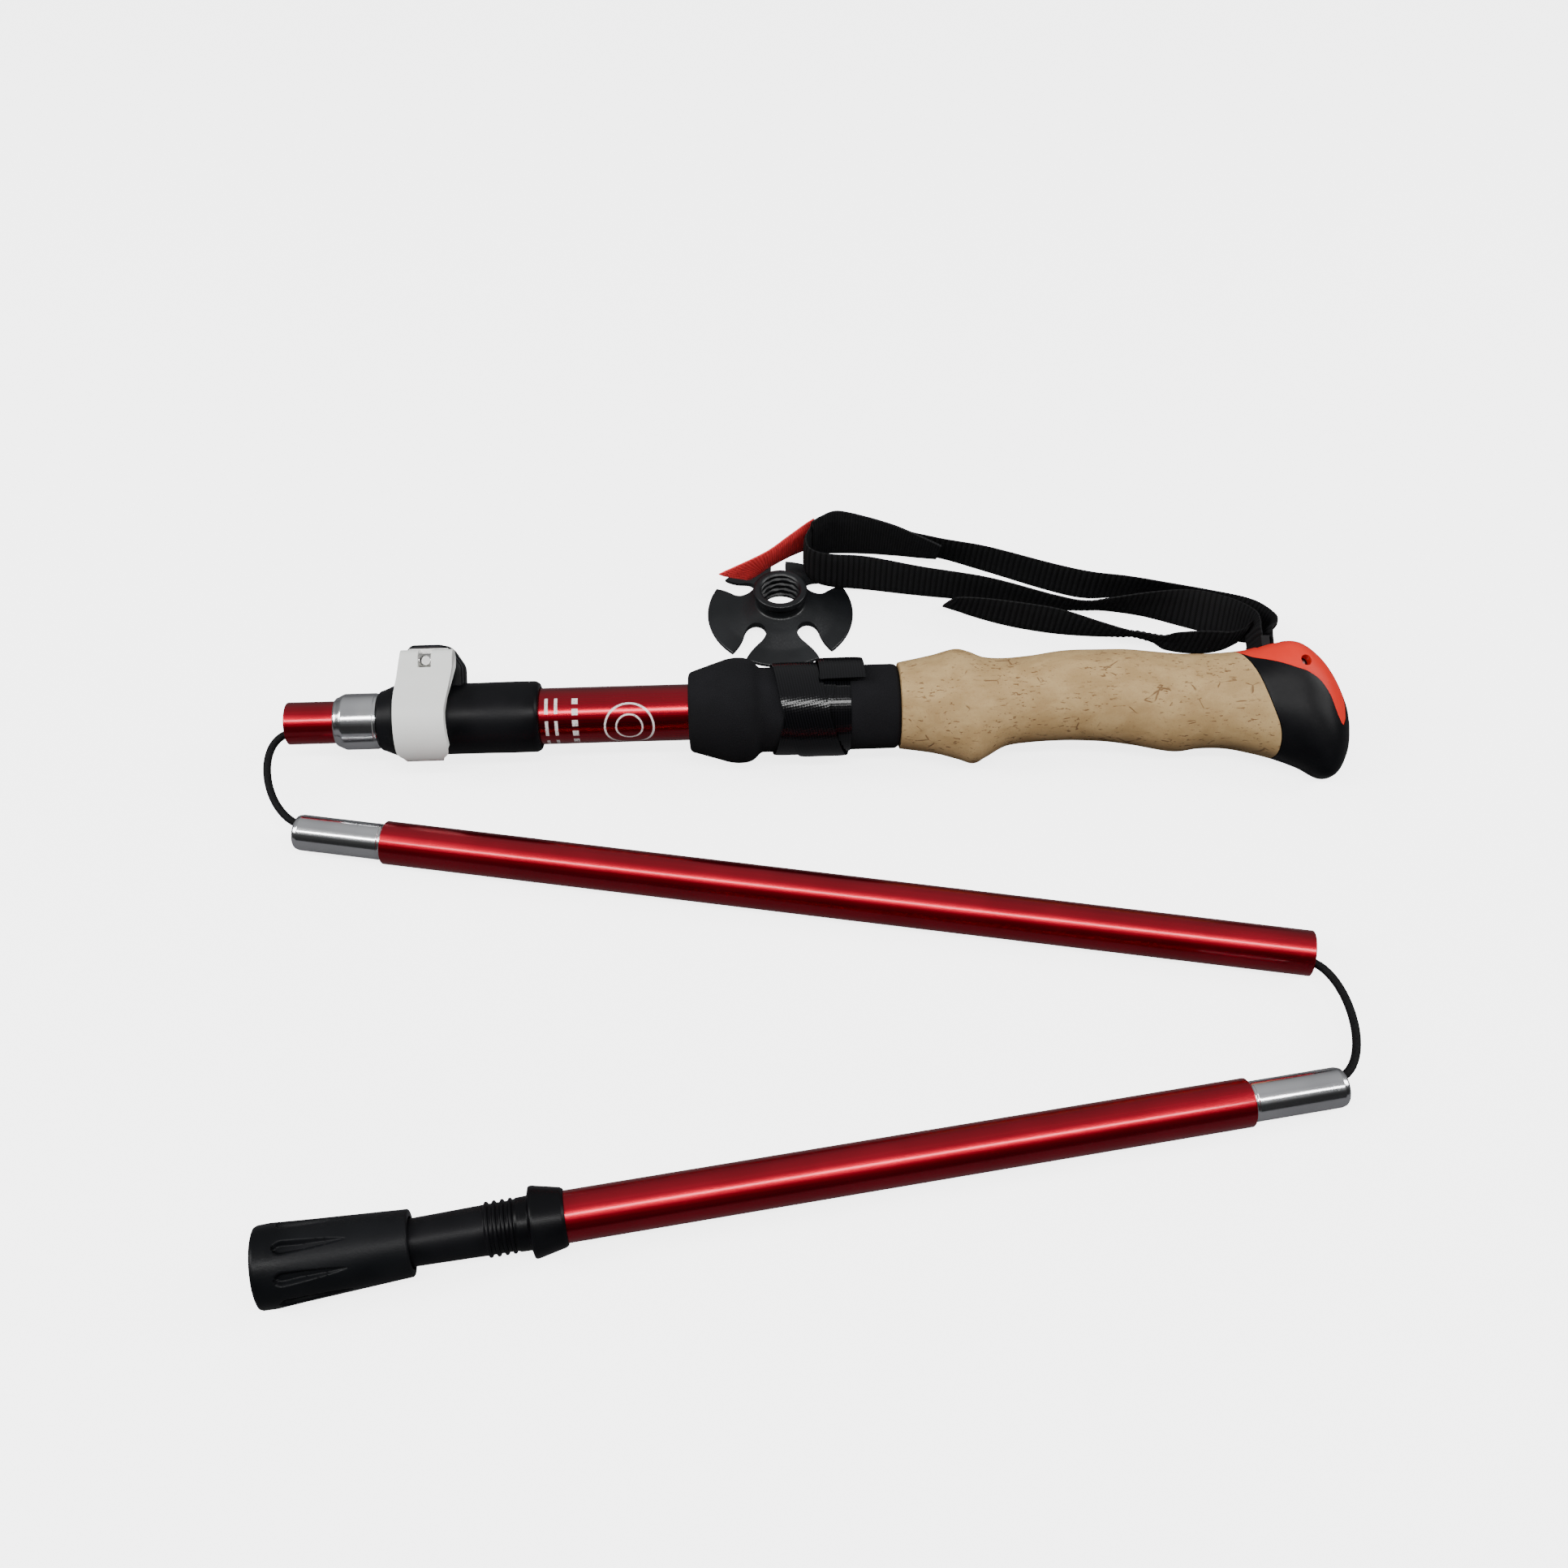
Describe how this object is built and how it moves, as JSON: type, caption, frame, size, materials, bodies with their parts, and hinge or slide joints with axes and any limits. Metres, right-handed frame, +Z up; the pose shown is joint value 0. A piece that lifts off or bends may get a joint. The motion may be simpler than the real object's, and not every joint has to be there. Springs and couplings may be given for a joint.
{
  "type": "trekking pole",
  "caption": "Folding trekking pole: cork and foam grip, wrist strap, lever-clamped telescoping tube, two corded shaft sections, rubber foot and loose mud basket.",
  "frame": {"origin": "on the ground, under the middle of the pole's footprint as it lies folded out", "axes": "+X along the handle section's axis, towards the grip; +Z up; the two shaft sections are folded out towards -Y"},
  "size_m": [0.3686, 0.295, 0.0425],
  "materials": {
    "red_tube": "red anodised, glossy",
    "silver_tube": "bare, polished",
    "steel": "plated",
    "black_plastic": "moulded, satin",
    "white_plastic": "moulded, satin",
    "red_plastic": "moulded, satin",
    "foam": "closed-cell foam, matte",
    "cork": "pressed cork grain, matte",
    "rubber": "moulded, satin",
    "webbing": "woven webbing",
    "red_fabric": "coated fabric",
    "cord": "coated elastic cord"
  },
  "bodies": {
    "handle": {"upper_tube": "red_tube", "clamp_collar": "black_plastic", "clamp_bolt": "steel", "adjuster_nut": "steel", "cam_plate": "steel", "foam_grip": "foam", "storage_band": "webbing", "cork_grip": "cork", "grip_head": "black_plastic", "head_cap": "red_plastic", "strap_pin": "steel", "strap_anchor": "webbing", "lever_barrel": "steel"},
    "lever": {"clamp_lever": "white_plastic"},
    "telescope": {"inner_tube": "silver_tube", "reducer_ferrule": "silver_tube", "socket_tube": "red_tube", "inner_bushing": "black_plastic", "button_spring": "steel", "spring_seat": "black_plastic", "tension_spring": "steel"},
    "button": {"lock_button": "steel"},
    "upper_link": {"upper_cord": "cord", "cord_stop": "black_plastic", "upper_cord_loop": "cord"},
    "middle_section": {"middle_ferrule": "silver_tube", "middle_cord_guide": "black_plastic", "middle_tube": "red_tube", "middle_cord": "cord"},
    "lower_link": {"lower_cord_loop": "cord"},
    "lower_section": {"lower_ferrule": "silver_tube", "lower_cord_guide": "black_plastic", "lower_tube": "red_tube", "lower_cord": "cord", "cord_anchor": "black_plastic", "tip_holder": "black_plastic", "carbide_tip": "steel"},
    "foot": {"rubber_foot": "rubber"},
    "basket": {"mud_basket": "black_plastic"},
    "wrist_strap": {"strap_webbing": "webbing", "strap_tail": "webbing", "wrist_pad": "webbing", "strap_tab": "red_fabric"}
  },
  "joints": [
    {"name": "lever_flip", "type": "hinge", "parent": "handle", "child": "lever", "pos_m": [-0.12701, 0.05815, 0.03881], "axis": [1, 0, 0], "range_deg": [-135, 0]},
    {"name": "telescope_slide", "type": "slide", "parent": "handle", "child": "telescope", "axis": [-1, 0, 0], "range_m": [0, 0.195]},
    {"name": "button_press", "type": "slide", "parent": "telescope", "child": "button", "axis": [0, 0.6561, -0.7547], "range_m": [0, 0.0015]},
    {"name": "upper_plug", "type": "slide", "parent": "telescope", "child": "upper_link", "axis": [1, 0, 0], "range_m": [0, 0.0337]},
    {"name": "upper_fold", "type": "hinge", "parent": "upper_link", "child": "middle_section", "pos_m": [-0.17352, 0.03133, 0.01326], "axis": [0.0285, 0.3124, -0.9495], "range_deg": [-9.9, 170.11], "deforming": ["upper_cord_loop"]},
    {"name": "lower_plug", "type": "slide", "parent": "middle_section", "child": "lower_link", "axis": [-0.9835, 0.1807, 0], "range_m": [0, 0.033]},
    {"name": "lower_fold", "type": "hinge", "parent": "lower_link", "child": "lower_section", "pos_m": [0.1496, -0.06937, 0.00697], "axis": [0.0074, -0.0108, 0.9999], "range_deg": [-18.65, 161.34], "deforming": ["lower_cord_loop"]},
    {"name": "foot_pull", "type": "slide", "parent": "lower_section", "child": "foot", "axis": [-0.9895, -0.1436, 0.015], "range_m": [0, 0.045]},
    {"name": "basket_slide", "type": "slide", "parent": "handle", "child": "basket", "axis": [-0.8102, -0.5861, 0], "range_m": [0, 0.03]},
    {"name": "strap_swing", "type": "hinge", "parent": "handle", "child": "wrist_strap", "pos_m": [0.15699, 0.06573, 0.02769], "axis": [0, 0.4695, -0.8829], "range_deg": [0, 40]}
  ]
}
